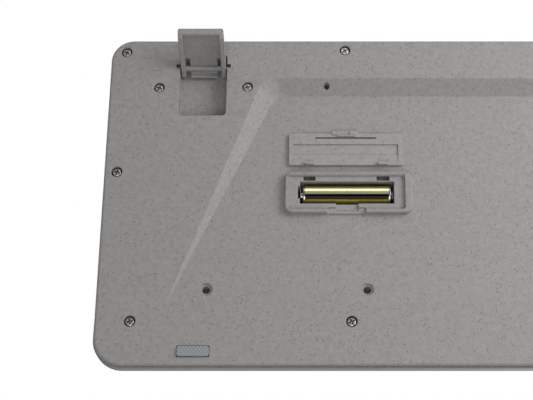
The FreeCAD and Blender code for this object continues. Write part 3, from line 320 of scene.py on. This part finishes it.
def plated_steel(name, colour=(0.86, 0.81, 0.73)):
    """Bright plating with worn patches, and painted shade in its corners and recesses."""
    material, tree = new_material(name, colour, 0.32, metallic=1.0)
    worn = tree.noise(900, 3.0)
    dark = tuple(0.62 * c for c in colour) + (1,)
    plating = tree.mix(tree.fit(worn, 0.35, 0.7), (*colour, 1), dark)
    # painted shade: corners and recesses, such as the cross recess, are darkened towards near-black by
    # ambient occlusion
    open_sky = tree.add("ShaderNodeAmbientOcclusion", {"Distance": 0.9 * MM}, samples=8).outputs["AO"]
    plating = tree.mix(tree.fit(open_sky, 0.55, 0.95), (0.05, 0.045, 0.04, 1), plating)
    tree.link(plating, tree.shader.inputs["Base Color"])
    tree.link(tree.fit(worn, 0.3, 0.7, 0.24, 0.42), tree.shader.inputs["Roughness"])
    return material


def foil_cell(name):
    """A gold foil sleeve with a painted highlight along its crown, a black stripe beside it and bare steel at
    both ends.
    """
    low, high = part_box("battery_cell")
    material, tree = new_material(name, (0.60, 0.47, 0.12), 0.24, metallic=1.0)
    point = tree.add("ShaderNodeSeparateXYZ", {"Vector": tree.place()})
    nub = 1.0 * MM
    end_band = 1.1 * MM
    sleeve_end = high.x - nub - end_band
    metal_ends = tree.math("MAXIMUM", tree.math("GREATER_THAN", point.outputs["X"], sleeve_end),
                           tree.math("LESS_THAN", point.outputs["X"], low.x + end_band))
    # how far round the sleeve a point is, from its distance along the underside's rear direction
    across = tree.add("ShaderNodeVectorMath", {0: tree.place(), 1: tuple(UNDERSIDE_REAR)},
                      operation="DOT_PRODUCT").outputs["Value"]
    middle = ((low + high) / 2).dot(UNDERSIDE_REAR)
    offset = tree.math("SUBTRACT", across, middle)
    stripe = tree.math("MULTIPLY", tree.math("GREATER_THAN", offset, -3.3 * MM),
                       tree.math("LESS_THAN", offset, -0.7 * MM))
    grain = tree.fit(tree.noise(500, 3.0, stretch=(0.1, 1, 1)), 0.3, 0.7)
    # painted highlight: pale cream along the crown, fading to darker gold towards the flanks
    painted_highlight_falloff = tree.fit(tree.math("ABSOLUTE", tree.math("SUBTRACT", offset, 0.6 * MM)), 1.5 * MM, 3.0 * MM)
    gold = tree.mix(painted_highlight_falloff, (0.90, 0.86, 0.56, 1), (0.52, 0.44, 0.06, 1))
    gold = tree.mix(tree.math("MULTIPLY", grain, 0.2), gold, (0.80, 0.74, 0.38, 1))
    colour = tree.mix(stripe, gold, (0.005, 0.005, 0.004, 1))
    colour = tree.mix(metal_ends, colour, (0.35, 0.34, 0.30, 1))
    tree.link(colour, tree.shader.inputs["Base Color"])
    tree.shader.inputs["Coat Weight"].default_value = 0.08
    tree.shader.inputs["Coat Roughness"].default_value = 0.08
    tree.bump(tree.noise(300, 2.0), 0.08, 0.0002)
    return material


def smooth_material(name, colour, roughness, scale=400, spread=0.12, **kind):
    """A plain material whose tone and gloss wander a little."""
    material, tree = new_material(name, colour, roughness, **kind)
    tone = tree.fit(tree.noise(scale, 3.0), 0.3, 0.7)
    low = tuple((1 - spread) * c for c in colour) + (1,)
    high = tuple(min(1.0, (1 + spread) * c) for c in colour) + (1,)
    tree.link(tree.mix(tone, low, high), tree.shader.inputs["Base Color"])
    gloss = tree.fit(tone, 0, 1, roughness * 0.9, min(1.0, roughness * 1.15))
    tree.link(gloss, tree.shader.inputs["Roughness"])
    tree.bump(tone, 0.1, 0.0001)
    return material


def make_materials():
    case = (0.322, 0.314, 0.309)
    return {
        "case_plastic": speckled_plastic("case_plastic", case, soften=0.9 * MM),
        "door_plastic": speckled_plastic("door_plastic", (0.345, 0.336, 0.322), fleck=0.9, soften=0.3 * MM),
        "key_plastic": speckled_plastic("key_plastic", (0.47, 0.445, 0.40), roughness=0.5),
        "pad_rubber": ribbed_rubber("pad_rubber"),
        "screw_steel": plated_steel("screw_steel"),
        "cell_foil": foil_cell("cell_foil"),
        "contact_metal": plated_steel("contact_metal", (0.72, 0.70, 0.66)),
        "membrane_film": smooth_material("membrane_film", (0.70, 0.74, 0.72), 0.3),
        "dome_silicone": smooth_material("dome_silicone", (0.75, 0.75, 0.73), 0.6),
        "board_laminate": smooth_material("board_laminate", (0.03, 0.20, 0.08), 0.35),
        "chip_black": smooth_material("chip_black", (0.02, 0.02, 0.022), 0.5),
        "led_body": smooth_material("led_body", (0.85, 0.82, 0.66), 0.25),
        "lens_clear": smooth_material("lens_clear", (0.80, 0.84, 0.86), 0.2),
        "wire_red": smooth_material("wire_red", (0.55, 0.03, 0.02), 0.45),
        "wire_black": smooth_material("wire_black", (0.02, 0.02, 0.02), 0.45),
        "legend_ink": smooth_material("legend_ink", (0.035, 0.033, 0.03), 0.6),
    }


def paint(obj, material):
    obj.data.materials.clear()
    obj.data.materials.append(material)


def paint_nodes(materials):
    slots = {part["node"]: part["material_slot"] for part in frame["record"]["subparts"]}
    for node, obj in frame["nodes"].items():
        name = "door_plastic" if node == "battery_door" else slots[node]
        for slot in obj.material_slots:
            slot.material = materials[name]


# ---------------------------------------------------------------- pieces

def add_piece(name, mesh, material, body):
    piece = bpy.data.objects.new(name, mesh)
    bpy.context.scene.collection.objects.link(piece)
    paint(piece, material)
    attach(piece, body)
    return piece


LEGENDS = {
    "key_escape": ["Esc"], "key_backspace": ["Backspace"], "key_tab": ["Tab"], "key_caps_lock": ["Caps"],
    "key_enter": ["Enter"], "key_shift_left": ["Shift"], "key_shift_right": ["Shift"],
    "key_arrow_up": ["^"], "key_arrow_left": ["<"], "key_arrow_down": ["v"], "key_arrow_right": [">"],
    "key_pad_zero": ["0"], "key_pad_point": ["."], "key_pad_plus": ["+"], "key_pad_enter": ["Enter"],
    "keys_function_1_to_4": ["F1", "F2", "F3", "F4"],
    "keys_function_5_to_8": ["F5", "F6", "F7", "F8"],
    "keys_function_9_to_12": ["F9", "F10", "F11", "F12"],
    "keys_print_group": ["Print", "Scroll", "Pause"],
    "keys_number_row": list("`1234567890-="),
    "keys_upper_letters": list("QWERTYUIOP[]") + ["\\"],
    "keys_home_letters": list("ASDFGHJKL;'"),
    "keys_lower_letters": list("ZXCVBNM,./"),
    "keys_bottom_left": ["Ctrl", "Fn", "Alt"],
    "keys_bottom_right": ["Alt", "Fn", "Menu", "Ctrl"],
    "keys_insert_group": ["Ins", "Home", "PgUp"],
    "keys_delete_group": ["Del", "End", "PgDn"],
    "keys_pad_top": ["Num", "/", "*", "-"],
    "keys_pad_789": list("789"), "keys_pad_456": list("456"), "keys_pad_123": list("123"),
}


def caps_of(node):
    """Each cap of a key node, left to right, as its box in the deck frame."""
    to_deck = DECK.inverted()
    mesh = frame["nodes"][node].data
    points = [to_deck @ vertex.co for vertex in mesh.vertices]
    faces = [[points[i] for i in polygon.vertices] for polygon in mesh.polygons]
    spans = [(min(p.x for p in face), max(p.x for p in face), i) for i, face in enumerate(faces)]
    least_gap = 0.1 * MM
    caps, reach = [], None
    for start, end, face in sorted(spans):
        if reach is None or start > reach + least_gap:
            caps.append([])
            reach = end
        caps[-1] += faces[face]
        reach = max(reach, end)
    return [(Vector(map(min, zip(*cap))), Vector(map(max, zip(*cap)))) for cap in caps]


def legend_mesh(text, height):
    curve = bpy.data.curves.new("legend", "FONT")
    curve.body = text
    curve.size = height
    curve.align_x = "LEFT"
    holder = bpy.data.objects.new("legend", curve)
    bpy.context.scene.collection.objects.link(holder)
    bpy.context.view_layer.update()
    mesh = bpy.data.meshes.new_from_object(holder)
    bpy.data.objects.remove(holder)
    bpy.data.curves.remove(curve)
    return mesh


def lay_on(mesh, tree, lift):
    """Drops each point of a flat legend onto the cap beneath it, and gives it a skin's thickness."""
    down = -DECK_UP
    work = bmesh.new()
    work.from_mesh(mesh)
    for vertex in work.verts:
        hit = tree.ray_cast(vertex.co + DECK_UP * 0.01, down)[0]
        vertex.co = (hit if hit is not None else vertex.co) + DECK_UP * lift
    faces = bmesh.ops.extrude_face_region(work, geom=work.faces[:])
    for item in faces["geom"]:
        if isinstance(item, bmesh.types.BMVert):
            item.co += DECK_UP * lift
    bmesh.ops.recalc_face_normals(work, faces=work.faces)
    work.to_mesh(mesh)
    work.free()


def print_legends(ink):
    """One legend on each cap, in its rear left corner."""
    letter_height, word_height = 4.6 * MM, 3.1 * MM
    side_margin, rear_margin = 3.0 * MM, 2.6 * MM
    capital = 0.75
    for node, words in LEGENDS.items():
        mesh = frame["nodes"][node].data
        surface = BVHTree.FromPolygons([v.co for v in mesh.vertices], [p.vertices for p in mesh.polygons])
        for i, (word, (low, high)) in enumerate(zip(words, caps_of(node))):
            height = letter_height if len(word) == 1 else word_height
            legend = legend_mesh(word, height)
            corner = Vector((low.x + side_margin, high.y - rear_margin - height * capital, high.z))
            legend.transform(DECK @ Matrix.Translation(corner))
            lay_on(legend, surface, 0.02 * MM)
            add_piece(f"legend_{node}_{i}", legend, ink, BODY_OF[node])


def contact_coil(material):
    """The negative contact: a conical wire coil in place of its plain envelope."""
    low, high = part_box("battery_contact_spring")
    middle = (low + high) / 2
    turns, steps, wire = 2.6, 26, 0.22 * MM
    wide, narrow = 3.3 * MM, 2.0 * MM
    curve = bpy.data.curves.new("contact_coil", "CURVE")
    curve.dimensions = "3D"
    curve.bevel_depth = wire
    curve.use_fill_caps = True
    line = curve.splines.new("NURBS")
    count = int(turns * steps)
    line.points.add(count - 1)
    for i in range(count):
        part = i / (count - 1)
        angle = 2 * math.pi * turns * part
        radius = wide - (wide - narrow) * part
        x = low.x + wire + (high.x - low.x - 2 * wire) * part
        line.points[i].co = (x, middle.y + radius * math.cos(angle), middle.z + radius * math.sin(angle), 1)
    line.order_u = 3
    line.use_endpoint_u = True
    coil = bpy.data.objects.new("contact_coil", curve)
    bpy.context.scene.collection.objects.link(coil)
    paint(coil, material)
    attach(coil, "case")
    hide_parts("battery_contact_spring")


# ---------------------------------------------------------------- scene

bpy.context.scene.view_settings.view_transform = "Standard"
make_camera()
make_world()
make_lights()
make_floor()
MATERIALS = make_materials()
paint_nodes(MATERIALS)
print_legends(MATERIALS["legend_ink"])
contact_coil(MATERIALS["contact_metal"])
